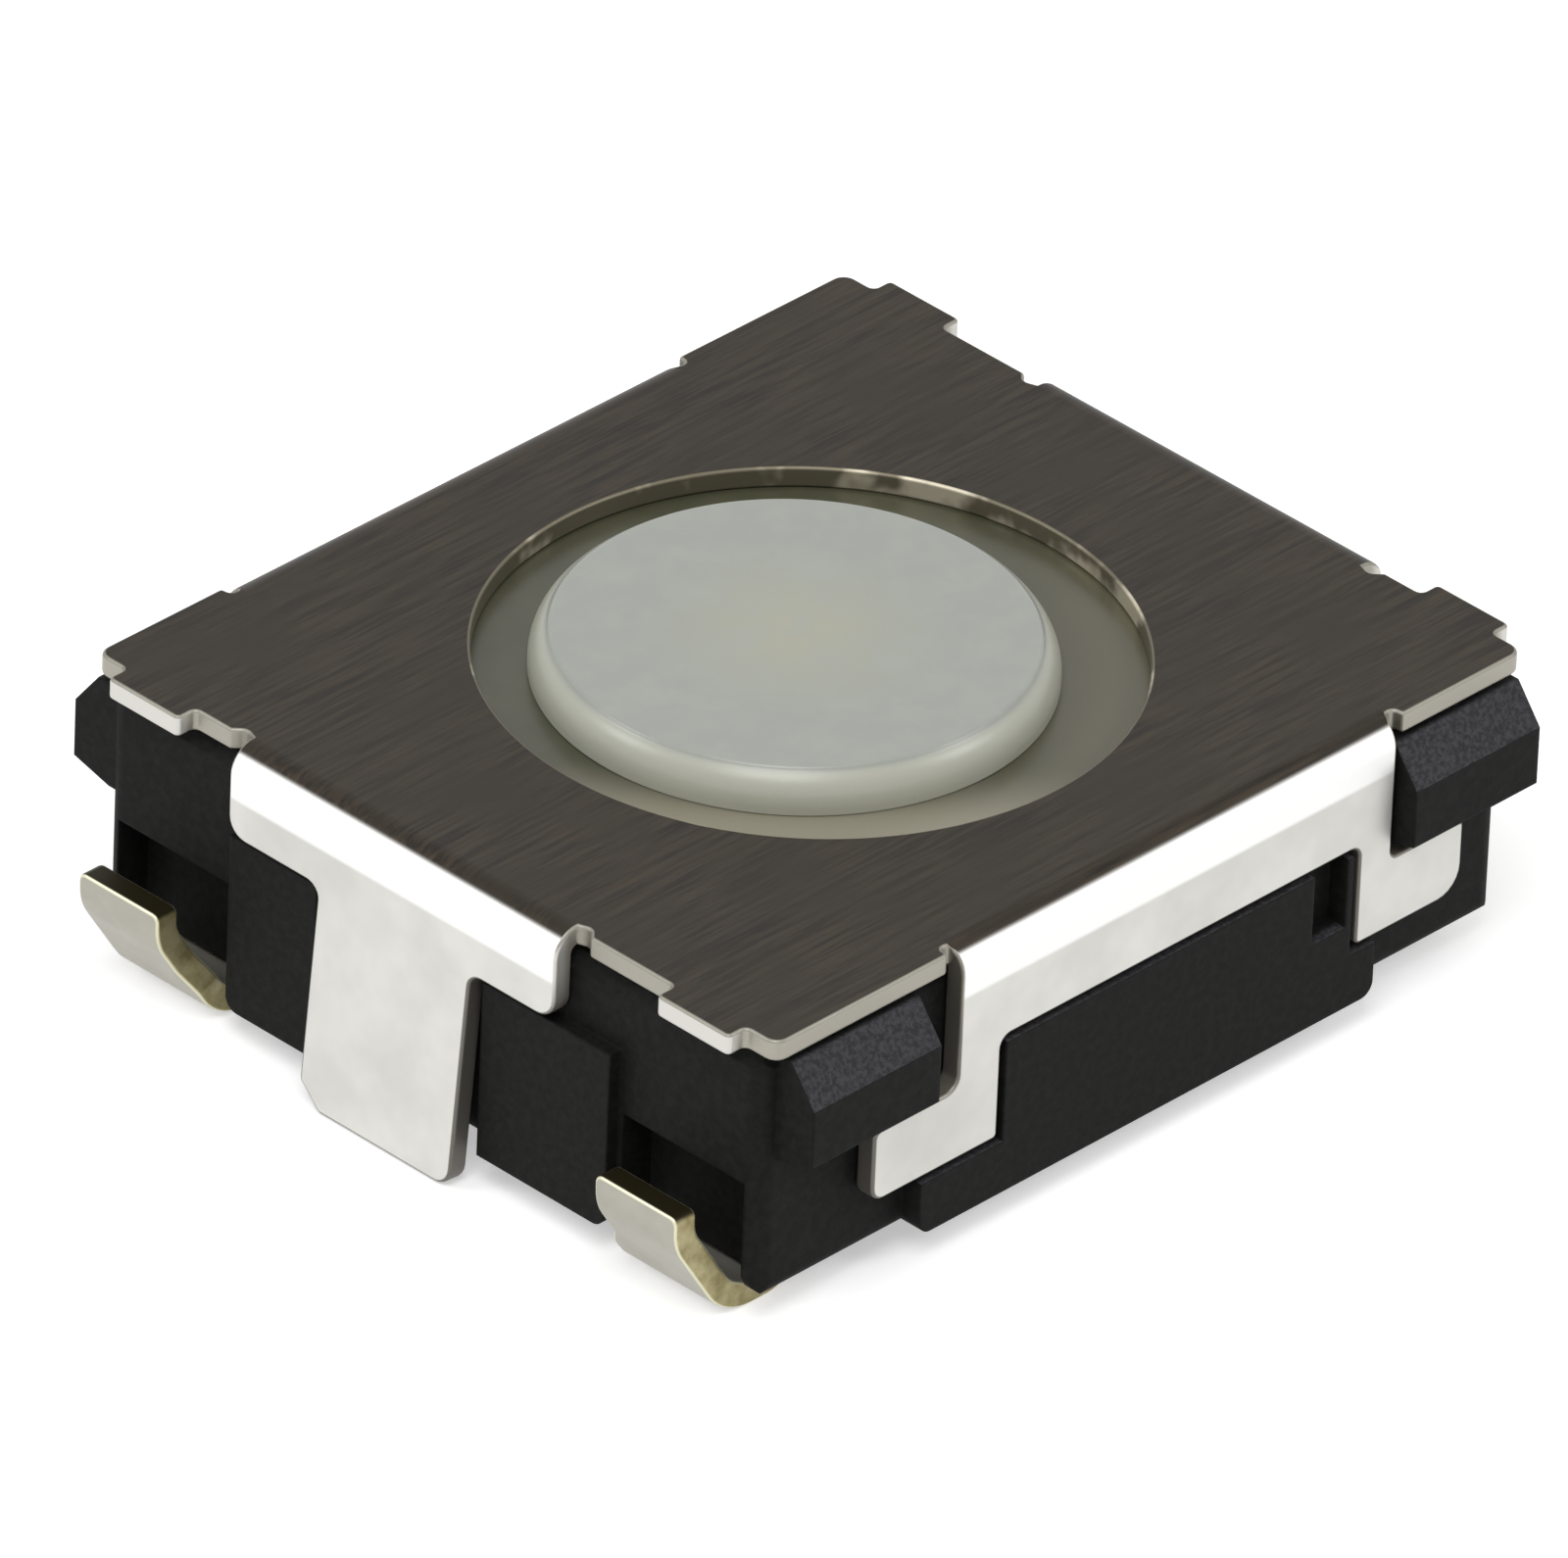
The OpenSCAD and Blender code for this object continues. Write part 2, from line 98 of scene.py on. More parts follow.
# %% Put arrays of points, faces and normals into an object
def make_piece(name, points, faces, normals):
    """Mesh piece from points in millimetres (n, 3), faces as lists of point numbers, and normals (n, 3)."""
    mesh = bpy.data.meshes.new(name)
    mesh.from_pydata((points * MM).tolist(), [], [list(map(int, f)) for f in faces])
    mesh.update()
    mesh.shade_smooth()
    lengths = np.linalg.norm(normals, axis=1, keepdims=True)
    mesh.normals_split_custom_set_from_vertices((normals / np.maximum(lengths, 1e-9)).tolist())
    piece = bpy.data.objects.new(name, mesh)
    bpy.context.scene.collection.objects.link(piece)
    print(f"{name}: {len(points)} points, {len(faces)} faces")
    return piece


def set_field(piece, name, values):
    """Store one number per point, for a material to read."""
    layer = piece.data.attributes.new(name, "FLOAT", "POINT")
    layer.data.foreach_set("value", np.asarray(values, dtype=np.float32))


def closed_band(rows):
    """Quads between consecutive rows of a (rows, columns) array of point numbers, closed all round."""
    beside = np.roll(rows, -1, axis=1)
    return np.stack([rows[:-1], rows[1:], beside[1:], beside[:-1]], axis=-1).reshape(-1, 4)


# %% [markdown]
# ## Sheet metal, as it is made
# The cover and the leads are stamped flat and then folded. Boxes with bevels could stand in for them, but
# the bends, round corners and cut edges would then all be built by hand. Here a flat blank has an outline
# in two directions, w along the fold and s across it, and a height h from the sheet's middle. Folding is
# one formula: a walk along the folded profile gives, for the distance s, a place and a heading, and the
# point stands h away from it, square to the heading.

# %% A walk along straight runs and arcs
def walk(s, runs, heading=0.0):
    """Place and heading after the distances s along runs of (length, turn in radians), from the first
    heading. On a run the heading is a + k d, with k = turn / length, so an arc moves by
    ((sin(a + k d) - sin a) / k, (cos a - cos(a + k d)) / k) and a straight run by d (cos a, sin a).
    Both ends go on straight."""
    s = np.asarray(s, float)
    x, z = np.minimum(s, 0) * math.cos(heading), np.minimum(s, 0) * math.sin(heading)
    start = 0.0
    angle = np.full_like(s, heading)
    for length, turn in runs:
        d = np.clip(s - start, 0, length)
        if turn:
            k = turn / length
            x = x + (np.sin(heading + k * d) - math.sin(heading)) / k
            z = z + (math.cos(heading) - np.cos(heading + k * d)) / k
            angle = angle + k * d
        else:
            x = x + d * math.cos(heading)
            z = z + d * math.sin(heading)
        heading, start = heading + turn, start + length
    rest = np.maximum(s - start, 0)
    return x + rest * math.cos(heading), z + rest * math.sin(heading), angle


def bend(radius, angle):
    """A run along an arc: its length is radius times angle."""
    return radius * angle, angle


# %% Outlines with round corners
def outline(corners, steps=6):
    """Closed outline through corners (w, s, r): each corner with r > 0 becomes an arc that touches both of
    its sides. The arc starts r tan(turn / 2) before the corner and turns evenly about the point r to the
    inner side. A quarter turn has the given number of steps."""
    places = np.array([corner[:2] for corner in corners], float)
    points = []
    for i, (_, _, r) in enumerate(corners):
        before, here, after = places[i - 1], places[i], places[(i + 1) % len(places)]
        d0, d1 = here - before, after - here
        d0, d1 = d0 / np.linalg.norm(d0), d1 / np.linalg.norm(d1)
        turn = math.atan2(d0[0] * d1[1] - d0[1] * d1[0], float(d0 @ d1))
        if r <= 0:
            points.append(here[None])
            continue
        side = math.copysign(1.0, turn)
        centre = here - d0 * r * math.tan(abs(turn) / 2) + side * r * np.array([-d0[1], d0[0]])
        first = math.atan2(-side * d0[0], side * d0[1])
        count = max(2, round(steps * abs(turn) / (math.pi / 2)) + 1)
        a = first + np.linspace(0, turn, count)
        points.append(centre + r * np.stack([np.cos(a), np.sin(a)], axis=1))
    return np.vstack(points)


def cut_lines(loop, axis, values, low, high):
    """Outline with a point added on each edge that crosses a line coordinate[axis] = value, at the share
    (value - a) / (b - a) of the edge, if the other coordinate is between low and high there. Straight edges
    then bend cleanly where the sheet folds."""
    step = np.roll(loop, -1, axis=0) - loop
    a, value = loop[:, axis], np.asarray(values)[:, None]
    crosses = (a - value) * (a + step[:, axis] - value) < -1e-9
    share = (value - a) / np.where(crosses, step[:, axis], 1)
    other = loop[:, 1 - axis] + share * step[:, 1 - axis]
    line, edge = np.nonzero(crosses & (low <= other) & (other <= high))
    order = np.lexsort((share[line, edge], edge))
    line, edge = line[order], edge[order]
    return np.insert(loop, edge + 1, loop[edge] + share[line, edge][:, None] * step[edge], axis=0)


# %% Fill a flat outline with triangles
def fill(plane, starts, folds):
    """Triangles (m, 3) that fill closed loops of points in a plane, counter-clockwise. starts holds each
    loop's first point number and the number after the last loop. folds are pairs of points that an edge
    must join. A triangle counts as inside if a line from its middle crosses the loops an odd number of
    times."""
    loops = list(zip(starts[:-1], starts[1:]))
    edges = [(i, i + 1 if i + 1 < end else start) for start, end in loops for i in range(start, end)]
    for ends in folds:
        i, j = (int(np.argmin(np.sum((plane - p) ** 2, axis=1))) for p in ends)
        if i != j:
            edges.append((i, j))
    _, _, tris, origin, _, _ = delaunay_2d_cdt([tuple(p) for p in plane], edges, [], 0, 1e-7)
    tris = np.array([o[0] for o in origin])[np.array(tris)]
    middle = plane[tris].mean(axis=1)
    inside = np.zeros(len(tris), bool)
    for start, end in loops:
        p, r = plane[start:end], np.roll(plane[start:end], -1, axis=0)
        over = (p[None, :, 1] > middle[:, None, 1]) != (r[None, :, 1] > middle[:, None, 1])
        rise = np.where(p[:, 1] == r[:, 1], 1, r[:, 1] - p[:, 1])
        cross = p[:, 0] + (middle[:, None, 1] - p[:, 1]) * (r[:, 0] - p[:, 0]) / rise
        inside ^= (np.sum(over & (cross > middle[:, None, 0]), axis=1) % 2).astype(bool)
    tris = tris[inside]
    a, b, c = (plane[tris[:, i]] for i in range(3))
    area = (b[:, 0] - a[:, 0]) * (c[:, 1] - a[:, 1]) - (b[:, 1] - a[:, 1]) * (c[:, 0] - a[:, 0])
    tris[area < 0] = tris[area < 0][:, ::-1]
    return tris[np.abs(area) > 1e-9]


# %% A flat blank with a half-round edge
def blank(loops, thickness, edge_r, folds=(), inner=()):
    """Flat sheet: the first loop runs counter-clockwise, the loops of holes clockwise. Edge rings at angles
    q from 90 to -90 degrees lie edge_r (1 - cos q) inside the outline, at the height +-(thickness / 2 -
    edge_r (1 - |sin q|)), with the normal (cos q outwards, sin q up). inner points lie inside the sheet,
    and folds are pairs of points that a mesh edge must join. Returns points and normals (w, s, h), faces,
    and cos q for each point as a measure of the edge."""
    q = np.radians([90, 60, 30, 0, 0, -30, -60, -90])
    inset = edge_r * (1 - np.cos(q))
    height = np.repeat([1, -1], 4) * (thickness / 2 - edge_r * (1 - np.abs(np.sin(q))))
    points, normals, faces, rim, top, low = [], [], [], [], [], []
    count = 0
    for loop in loops:
        d = np.roll(loop, -1, axis=0) - loop
        d /= np.linalg.norm(d, axis=1, keepdims=True)
        after = np.stack([d[:, 1], -d[:, 0]], axis=1)
        before = np.roll(after, 1, axis=0)
        mitre = (before + after) / (1 + np.sum(before * after, axis=1, keepdims=True))
        outward = mitre / np.linalg.norm(mitre, axis=1, keepdims=True)
        n = len(loop)
        for ring in range(len(q)):
            points.append(np.column_stack([loop - mitre * inset[ring], np.full(n, height[ring])]))
            normals.append(np.column_stack([outward * math.cos(q[ring]), np.full(n, math.sin(q[ring]))]))
            rim.append(np.full(n, math.cos(q[ring])))
        rows = count + np.arange(len(q) * n).reshape(len(q), n)
        faces += closed_band(rows).tolist()
        top.append(rows[0])
        low.append(rows[-1])
        count += len(q) * n
    extra = len(inner)
    for side, flat in ((1, top), (-1, low)):
        points.append(np.column_stack([np.reshape(inner, (-1, 2)), np.full(extra, side * thickness / 2)]))
        normals.append(np.tile([0.0, 0.0, side], (extra, 1)))
        rim.append(np.zeros(extra))
        flat.append(count + np.arange(extra))
        count += extra
    points, top, low = np.vstack(points), np.concatenate(top), np.concatenate(low)
    starts = [int(n) for n in np.cumsum([0] + [len(loop) for loop in loops])]
    tris = fill(points[top, :2], starts, folds)
    faces += top[tris].tolist() + low[tris][:, ::-1].tolist()
    return points, np.vstack(normals), faces, np.concatenate(rim)


# %% Fold a blank
def fold(local, normal, runs, heading=0.0):
    """Lay points (w, s, h) along the profile: place(s) + h (-sin a, cos a), with the heading a at s.
    Returns points and normals as (outwards, w, up)."""
    x, z, a = walk(local[:, 1], runs, heading)
    s, c = np.sin(a), np.cos(a)
    points = np.column_stack([x - local[:, 2] * s, local[:, 0], z + local[:, 2] * c])
    normals = np.column_stack([normal[:, 1] * c - normal[:, 2] * s, normal[:, 0],
                               normal[:, 1] * s + normal[:, 2] * c])
    return points, normals


# %% [markdown]
# ## The cover
# The real cover is one stamping of plated steel, 0.15 mm thick. Its blank holds the square top with a hole,
# the clipped lips, two skirts that hook under the housing's lugs, and two skirts with ground tabs. The
# outline is written once for half of the blank, and turned half a turn for the other half, as the stamping
# repeats.

# %% The cover's sizes in millimetres
sheet_t, bend_r = 0.15, 0.04  # the photo's bends are tighter than the CAD's, between the same faces
cut_r = 0.025  # the rounding of a cut edge
housing_top, lug_h = 1.97, 0.80
cover_top = 2.17
cover_under = cover_top - sheet_t
cover_x, cover_y = 3.43, 3.00  # outer faces of the skirts
plate_x, plate_y = 3.28, 2.95  # edges of the square top beside the skirts
lip_near, lip_far = 2.07, 2.69  # a lip reaches from plate_x out to cover_x between these
hole_r = 2.10
skirt_shift = 0.20
hook_skirt_w, hook_band_h = 3.82, 0.79
wide_leg, slim_leg = 0.37, 0.29
wide_foot, slim_foot, foot_h = 0.72, 0.65, 0.52
foot_top = housing_top - lug_h
tab_skirt_w, tab_band_h = 2.83, 0.63
tab_band_low = cover_top - tab_band_h
tab_up, tab_down = 0.83, -0.49
tab_lean, lean_l = math.radians(4.5), 0.10
clip_s, clip_w = 0.16, 0.18  # the clipped corner of a tab's tip
slot_w, slot_mouth, slot_in = 0.08, 0.15, 0.03  # the slot beside a tab skirt ends inside its bend line
notch_w, notch_mouth, notch_in, notch_r = 0.08, 0.09, 0.06, 0.038  # beside a hooked skirt
print("the cover is", 2 * cover_x, "mm by", 2 * cover_y, "mm over its skirts")

# %% Where the cover folds
# The bend is worked out on the sheet's middle: its radius is the inside radius plus half the thickness.
mid_r = bend_r + sheet_t / 2
bend_l, _ = bend(mid_r, math.pi / 2)
bend_x, bend_y, bend_z = (face - sheet_t - bend_r for face in (cover_x, cover_y, cover_top))
bend_steps = np.linspace(0, bend_l, 9)


def below(z):
    """Distance s down a skirt, from the start of its bend to the level z."""
    return bend_l + bend_z - z


print("bend", round(bend_l, 3), "mm long; the tabs reach", round(below(0.0), 2), "mm from it")

# %% The cover's flat outline
def half_blank():
    """Corners (w, s, r) of half the blank, counter-clockwise from the lip on the +Y side of the -X edge
    round to the end of the -Y edge. Each skirt stands on its bend line."""
    up, down = skirt_shift + tab_skirt_w / 2, skirt_shift - tab_skirt_w / 2
    x, band_end = -bend_x, below(tab_band_low)
    tip = band_end + (tab_band_low - sheet_t / 2 * math.sin(tab_lean)) / math.cos(tab_lean)
    corners = []
    for first, last in ((lip_far, lip_near), (-lip_near, -lip_far)):
        corners += [(-plate_x, first, 0.04), (-cover_x, first, 0.04), (-cover_x, last, 0.04)]
        corners += [(-plate_x, last, 0.04)]
        if first > 0:  # the tab skirt lies between the two lips
            corners += [(-plate_x, up + slot_mouth, 0.03), (x + slot_in, up + slot_w, 0.05), (x, up, 0.0)]
            corners += [(x - band_end, up, 0.15), (x - band_end, tab_up, 0.10)]
            corners += [(x - tip + clip_s, tab_up, 0.04), (x - tip, tab_up - clip_w, 0.04)]
            corners += [(x - tip, tab_down, 0.13), (x - band_end, tab_down, 0.10)]
            corners += [(x - band_end, down, 0.15), (x, down, 0.0)]
            corners += [(x + slot_in, down - slot_w, 0.05), (-plate_x, down - slot_mouth, 0.03)]
    left, right = skirt_shift - hook_skirt_w / 2, skirt_shift + hook_skirt_w / 2
    y = -bend_y
    band_end, top, low = (y - below(z) for z in (cover_top - hook_band_h, foot_top, foot_top - foot_h))
    corners += [(-plate_x, -plate_y, 0.10), (left - notch_mouth, -plate_y, 0.03)]
    corners += [(left - notch_w, y - notch_in, notch_r), (left, y - notch_in, notch_r)]
    corners += [(left, top, 0.10), (left - wide_foot, top, 0.06), (left - wide_foot, low, 0.10)]
    corners += [(left + wide_leg, low, 0.04), (left + wide_leg, band_end, 0.08)]
    corners += [(right - slim_leg, band_end, 0.08), (right - slim_leg, low, 0.04)]
    corners += [(right + slim_foot, low, 0.20), (right + slim_foot, top, 0.04), (right, top, 0.06)]
    corners += [(right, y - notch_in, notch_r), (right + notch_w, y - notch_in, notch_r)]
    corners += [(right + notch_mouth, -plate_y, 0.03), (plate_x, -plate_y, 0.10)]
    return corners


half = half_blank()
cover_outline = outline(half + [(-w, -s, r) for w, s, r in half])
around = np.linspace(0, -2 * math.pi, 256, endpoint=False)
hole = hole_r * np.column_stack([np.cos(around), np.sin(around)])
print("cover outline:", len(cover_outline), "points; hole:", len(hole))

# %% The cover's blank
# Mesh edges follow the bends' steps. A notch beside a hooked skirt ends notch_in outside the bend's first
# line, so the first steps there end on inner points in place of the outline.
near = 0.001  # a margin for points that lie on a limit
tab_steps = np.append(bend_steps, below(tab_band_low - lean_l * np.array([0, 0.5, 1])))
folds, inner = [], []
for sign in (-1, 1):
    a, b = (-sign * skirt_shift + half_w for half_w in (-hook_skirt_w / 2, hook_skirt_w / 2))
    cover_outline = cut_lines(cover_outline, 1, sign * (bend_y + bend_steps[1:]), a - near, b + near)
    folds += [((a, sign * (bend_y + s)), (b, sign * (bend_y + s))) for s in bend_steps]
    inner += [(x, sign * (bend_y + s)) for x in (a, b) for s in bend_steps if s < notch_in]
    a, b = (-sign * skirt_shift + half_w for half_w in (-tab_skirt_w / 2, tab_skirt_w / 2))
    cover_outline = cut_lines(cover_outline, 0, sign * (bend_x + tab_steps[1:]), a - near, b + near)
    folds += [((sign * (bend_x + s), a), (sign * (bend_x + s), b)) for s in bend_steps]
sheet_loops = [cover_outline, hole]
cover_flat, cover_flat_normals, cover_faces, cover_rim = blank(sheet_loops, sheet_t, cut_r, folds, inner)
print("cover blank:", len(cover_outline), "points round the outline,", len(folds), "fold lines")

# %% Fold the four skirts
def fold_cover(p, n):
    """Fold each skirt down in its own frame of outwards, along the edge and up. A point belongs to a skirt
    if it lies past the bend line and is either within the skirt's width or further out than all flat
    parts, where the feet are."""
    side_margin, flat_margin = 0.004, 0.02
    points, normals = p.copy(), n.copy()
    points[:, 2] += (cover_top + cover_under) / 2
    quarter = (bend_l, -math.pi / 2)
    leaning = [quarter, (below(tab_band_low) - bend_l, 0.0), (lean_l, tab_lean)]
    skirts = ((1, bend_y, cover_y, hook_skirt_w, [quarter]), (0, bend_x, cover_x, tab_skirt_w, leaning))
    for axis, line, face, width, runs in skirts:
        for k in (-1, 1):
            along, out = p[:, 1 - axis], k * p[:, axis]
            within = np.abs(along + k * skirt_shift) < width / 2 + side_margin
            pick = (out > line) & (within | (out > face + flat_margin))
            local = np.column_stack([along, out - line, p[:, 2]])[pick]
            local_normals = np.column_stack([n[:, 1 - axis], k * n[:, axis], n[:, 2]])[pick]
            q, m = fold(local, local_normals, runs)
            points[pick, axis], normals[pick, axis] = k * (q[:, 0] + line), k * m[:, 0]
            points[pick, 1 - axis], normals[pick, 1 - axis] = q[:, 1], m[:, 1]
            points[pick, 2], normals[pick, 2] = q[:, 2] + bend_z + mid_r, m[:, 2]
    return points, normals


cover_points, cover_normals = fold_cover(cover_flat, cover_flat_normals)
cover = make_piece("cover_sheet", cover_points, cover_faces, cover_normals)
set_field(cover, "cut_edge", cover_rim)
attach(cover, "switch_body")
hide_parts("metal_cover")

# %% [markdown]
# ## The leads
# Each lead is a silver-plated brass strip. It comes down inside the housing, bends out along the board, and
# curls up again beside the housing. It is a blank folded along one path, like the cover. The path's radii
# are the CAD solid's, measured at the strip's middle.

# %% The lead's sizes in millimetres
strip_t = 0.18
lead_w, root_extra, shoulder_l = 0.70, 0.10, 0.20
slant_before, slant_after = 0.14, 0.06  # the shoulder slants from before its middle to after it
root_w = lead_w + root_extra
root_at = np.array([2.60 + strip_t / 2, 1.80, 0.90])  # the strip's start, inside the housing
far_shift = 0.22  # the photo shows no lead past the far corner, so the far leads stand nearer the middle
root_r, curl_r, tip_r = 0.21, 0.36, 0.31
root_l, sole_l, slope_l, tip_l = 0.60, 0.13, 0.47, 0.10
curl, upright = math.radians(57), math.radians(33)

# %% One lead
lead_runs = [(root_l, 0.0), bend(root_r, math.pi / 2), (sole_l, 0.0), bend(curl_r, curl), (slope_l, 0.0),
             bend(tip_r, upright), (tip_l, 0.0)]
run_ends = np.cumsum([0.0] + [length for length, _ in lead_runs])
lead_end, shoulder = run_ends[-1], run_ends[4] + shoulder_l
lead_outline = outline([(0, 0, 0), (root_w, 0, 0), (root_w, lead_end, 0.06), (root_extra, lead_end, 0.06),
                        (root_extra, shoulder + slant_after, 0.08), (0, shoulder - slant_before, 0.08)])
lead_steps = np.concatenate([np.linspace(*run_ends[1:3], 9), np.linspace(*run_ends[3:5], 9),
                             np.linspace(*run_ends[5:7], 6)])
lead_outline = cut_lines(lead_outline, 1, lead_steps, -near, root_w + near)
lead_folds = [((0.0 if s < shoulder else root_extra, s), (root_w, s)) for s in lead_steps]
lead_flat, lead_flat_normals, lead_faces, lead_rim = blank([lead_outline], strip_t, cut_r, lead_folds)
lead_points, lead_normals = fold(lead_flat, lead_flat_normals, lead_runs, -math.pi / 2)
lead_points += root_at
print("lead strip:", round(lead_end, 2), "mm long before folding")

# %% Two rows of two leads
def lead_row(name, side, replaced):
    """Two leads of one row: the corner's lead, shifted at the +X end and mirrored at the -X end. A single
    mirror turns a face inside out, so its points are then listed backwards."""
    points, normals, faces = [], [], []
    for end, shift in ((1, far_shift), (-1, 0.0)):
        turned = lead_faces if end * side < 0 else [f[::-1] for f in lead_faces]
        faces += [[i + len(points) * len(lead_points) for i in f] for f in turned]
        points.append((lead_points - [0, shift, 0]) * [end, side, 1])
        normals.append(lead_normals * [end, side, 1])
    row = make_piece(name, np.vstack(points), faces, np.vstack(normals))
    set_field(row, "cut_edge", np.tile(lead_rim, 2))
    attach(row, "switch_body")
    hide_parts(replaced)
    return row


rows = [lead_row("left_leads", 1, "centre_contact"), lead_row("right_leads", -1, "rim_contact")]

# %% [markdown]
# ## The button
# The real button is moulded, with a flat top, a small round edge and a wall that swells towards its foot
# like part of an oval. A cylinder with a bevel would miss the swell, so the profile is worked out and
# turned about the axis. Points on both arcs are taken by angle, so their normals are exact. The button sits
# loosely in its hole, a little off its middle.

# %% The button's profile in millimetres
button_top, button_r, top_r = 2.32, 1.65, 1.50
crown, edge_r, foot_chamfer = 0.010, 0.04, 0.01
foot_wall = 0.05  # the swell ends this far above the button's foot
drift = np.array([-0.07, 0.07])

flat_r = np.array([0.25, 0.5, 0.8, 1.1, 1.35, top_r])
flat_z = button_top - crown * (flat_r / top_r) ** 2
flat_slope = np.pi / 2 - 2 * crown * flat_r / top_r ** 2
round_slope = np.radians(np.linspace(90, 35, 6))[1:]
round_r = top_r + edge_r * np.cos(round_slope)
round_z = button_top - crown - edge_r * (1 - np.sin(round_slope))
u_top = math.radians(60)  # the swell is the oval from this angle down to its widest place
u = np.linspace(u_top, 0, 10)[1:]
oval_w, oval_h = button_r - round_r[-1], round_z[-1] - cover_under - foot_wall
swell_r = round_r[-1] + oval_w * (np.cos(u) - math.cos(u_top)) / (1 - math.cos(u_top))
swell_z = round_z[-1] - oval_h * (1 - np.sin(u) / math.sin(u_top))
swell_slope = np.arctan2(oval_w / (1 - math.cos(u_top)) * np.sin(u), oval_h / math.sin(u_top) * np.cos(u))
profile_r = np.concatenate([flat_r, round_r, swell_r, [button_r, button_r - foot_chamfer]])
profile_z = np.concatenate([flat_z, round_z, swell_z, [cover_under + foot_chamfer, cover_under]])
slope = np.concatenate([flat_slope, round_slope, swell_slope, [0.0, -np.pi / 4]])
print("button profile:", len(profile_r), "points; the swell adds", round(oval_w, 3), "mm to the radius")

# %% Turn the profile about its axis
def revolve(r, z, slope, steps=192):
    """Points (r cos a, r sin a, z) and normals (cos slope cos a, cos slope sin a, sin slope), with a from 0
    to one turn. The first ring is closed by one face on top and the last by one below."""
    a = np.linspace(0, 2 * np.pi, steps, endpoint=False)
    points = np.stack([np.outer(r, np.cos(a)), np.outer(r, np.sin(a)), np.outer(z, np.ones(steps))], axis=-1)
    normals = np.stack([np.outer(np.cos(slope), np.cos(a)), np.outer(np.cos(slope), np.sin(a)),
                        np.outer(np.sin(slope), np.ones(steps))], axis=-1)
    grid = np.arange(len(r) * steps).reshape(len(r), steps)
    faces = closed_band(grid).tolist() + [grid[0].tolist(), grid[-1][::-1].tolist()]
    return points.reshape(-1, 3), faces, normals.reshape(-1, 3)


button_points, button_faces, button_normals = revolve(profile_r, profile_z, slope)
button_points[:, :2] += drift
cap = make_piece("button_cap", button_points, button_faces, button_normals)
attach(cap, "button")
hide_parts("button")

# %% [markdown]
# ## Material helpers
# Each material is a small network of nodes. One helper adds a node with its settings and links. Colours are
# written as seen, as sRGB codes, and turned into linear light once. Patterns are measured in millimetres in
# the object's own coordinates, so they keep their real size.

# %% Add and feed nodes
def linear(code):
    """sRGB hex code to linear RGBA: c / 12.92 up to 0.04045, and ((c + 0.055) / 1.055) ** 2.4 above it."""
    values = [int(code[i:i + 2], 16) / 255 for i in (0, 2, 4)]
    return tuple(c / 12.92 if c <= 0.04045 else ((c + 0.055) / 1.055) ** 2.4 for c in values) + (1.0,)


def feed(tree, node, inputs):
    """Feed a node's inputs from other nodes' outputs, from sRGB codes or from plain values."""
    for key, value in inputs.items():
        if isinstance(value, bpy.types.NodeSocket):
            tree.links.new(value, node.inputs[key])
        else:
            node.inputs[key].default_value = linear(value) if isinstance(value, str) else value


def add(tree, kind, inputs=None, **settings):
    """Add a node, set its properties and feed its inputs."""
    node = tree.nodes.new("ShaderNode" + kind)
    for key, value in settings.items():
        setattr(node, key, value)
    feed(tree, node, inputs or {})
    return node


def material(name):
    """A new material whose tree holds a Principled shader joined to the output."""
    made = bpy.data.materials.new(name)
    made.use_nodes = True
    return made, made.node_tree, made.node_tree.nodes["Principled BSDF"]


def dress(mesh, look):
    """Give a mesh this material alone, and say so."""
    mesh.materials.clear()
    mesh.materials.append(look)
    print(f"{mesh.name}: {look.name}, {len(look.node_tree.nodes)} nodes")


# %% Places, directions and patterns to colour by
def grain(tree, size_mm, detail, stretch=(1, 1, 1)):
    """Noise from 0 to 1 with cells of this size: the scale, in cells to a metre, is 1 / (size x 0.001). A
    stretch of 0.06 on an axis makes the cells 1 / 0.06 times as long that way."""
    place = add(tree, "TexCoord").outputs["Object"]
    place = add(tree, "Mapping", {"Vector": place, "Scale": stretch}).outputs["Vector"]
    return add(tree, "TexNoise", {"Vector": place, "Scale": 1 / (size_mm * MM), "Detail": detail,
                                  "Roughness": 0.6}).outputs["Fac"]


def along(tree, direction):
    """How far a point lies along a direction, in metres: its place's dot product with the direction."""
    place = add(tree, "TexCoord").outputs["Object"]
    return add(tree, "VectorMath", {0: place, 1: direction}, operation="DOT_PRODUCT").outputs["Value"]


def facing(tree, direction):
    """How far the surface faces a direction: the dot product of its normal with the direction."""
    normal = add(tree, "NewGeometry").outputs["Normal"]
    return add(tree, "VectorMath", {0: normal, 1: direction}, operation="DOT_PRODUCT").outputs["Value"]


def from_axis(tree, centre_mm=(0, 0)):
    """Distance in metres from an upright axis through the centre: the length of (x - cx, y - cy, 0)."""
    centre = (centre_mm[0] * MM, centre_mm[1] * MM, 0)
    place = add(tree, "TexCoord").outputs["Object"]
    place = add(tree, "VectorMath", {0: place, 1: centre}, operation="SUBTRACT").outputs[0]
    place = add(tree, "VectorMath", {0: place, 1: (1, 1, 0)}, operation="MULTIPLY").outputs[0]
    return add(tree, "VectorMath", {0: place}, operation="LENGTH").outputs["Value"]


def fade(tree, value, low, high, a, b):
    """Colour a where the value is below low, b where it is above high, and a smooth step between them."""
    share = add(tree, "MapRange", {"Value": value, "From Min": low, "From Max": high},
                interpolation_type="SMOOTHSTEP").outputs["Result"]
    return add(tree, "Mix", {0: share, 6: a, 7: b}, data_type="RGBA").outputs[2]


